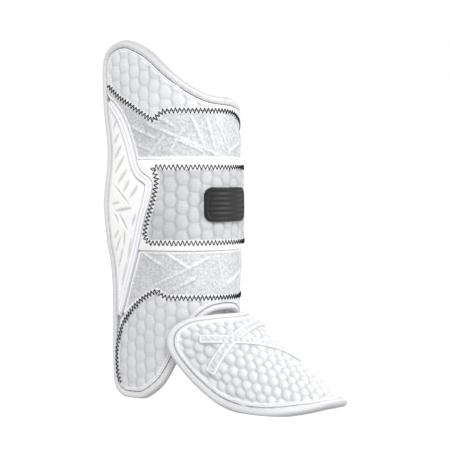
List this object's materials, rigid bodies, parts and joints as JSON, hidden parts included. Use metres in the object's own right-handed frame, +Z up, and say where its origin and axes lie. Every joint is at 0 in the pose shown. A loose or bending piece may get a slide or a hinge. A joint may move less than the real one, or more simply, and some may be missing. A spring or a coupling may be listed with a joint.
{
  "type": "leg guard",
  "caption": "Padded white leg guard that wraps the shin and its outer side, with embossed pads, rolled bindings, ankle wings, calf straps and a foot flap that covers the instep.",
  "frame": {"origin": "floor level below the axis of the leg's upper opening; the guard stands on its ankle wings and flap edges at z = 0", "axes": "+Z up along the shin, -Y out of the front of the shin towards the toes, -X out of the high outer side"},
  "size_m": [0.1408, 0.2842, 0.3799],
  "materials": {
    "lining_knit": "knitted lining over moulded foam",
    "top_cap_knit": "embossed knit",
    "upper_shield_skin": "finely grained coated cloth",
    "centre_band_knit": "embossed knit",
    "lower_shield_skin": "finely grained coated cloth",
    "ankle_panel_knit": "embossed knit",
    "outer_side_skin": "ribbed coated cloth",
    "inner_side_skin": "ribbed coated cloth",
    "outer_ridge_skin": "smooth coated cloth",
    "inner_ridge_skin": "smooth coated cloth",
    "shin_binding_cloth": "rolled woven binding",
    "front_badge_rubber": "matt",
    "foot_flap_knit": "embossed knit",
    "flap_bar_skin": "finely grained coated cloth",
    "flap_binding_cloth": "rolled woven binding",
    "hinge_cloth": "woven cloth",
    "upper_strap_webbing": "elastic webbing",
    "lower_strap_webbing": "elastic webbing"
  },
  "bodies": {
    "root": {"shin_shell": "lining_knit", "top_cap": "top_cap_knit", "upper_shield": "upper_shield_skin", "centre_band": "centre_band_knit", "lower_shield": "lower_shield_skin", "ankle_panel": "ankle_panel_knit", "outer_side_panel": "outer_side_skin", "inner_side_panel": "inner_side_skin", "outer_ridge": "outer_ridge_skin", "inner_ridge": "inner_ridge_skin", "shin_binding": "shin_binding_cloth", "front_badge": "front_badge_rubber", "foot_flap": "foot_flap_knit", "flap_cross_band": "flap_bar_skin", "flap_binding": "flap_binding_cloth", "flap_hinge": "hinge_cloth", "upper_strap": "upper_strap_webbing", "lower_strap": "lower_strap_webbing"}
  },
  "joints": []
}
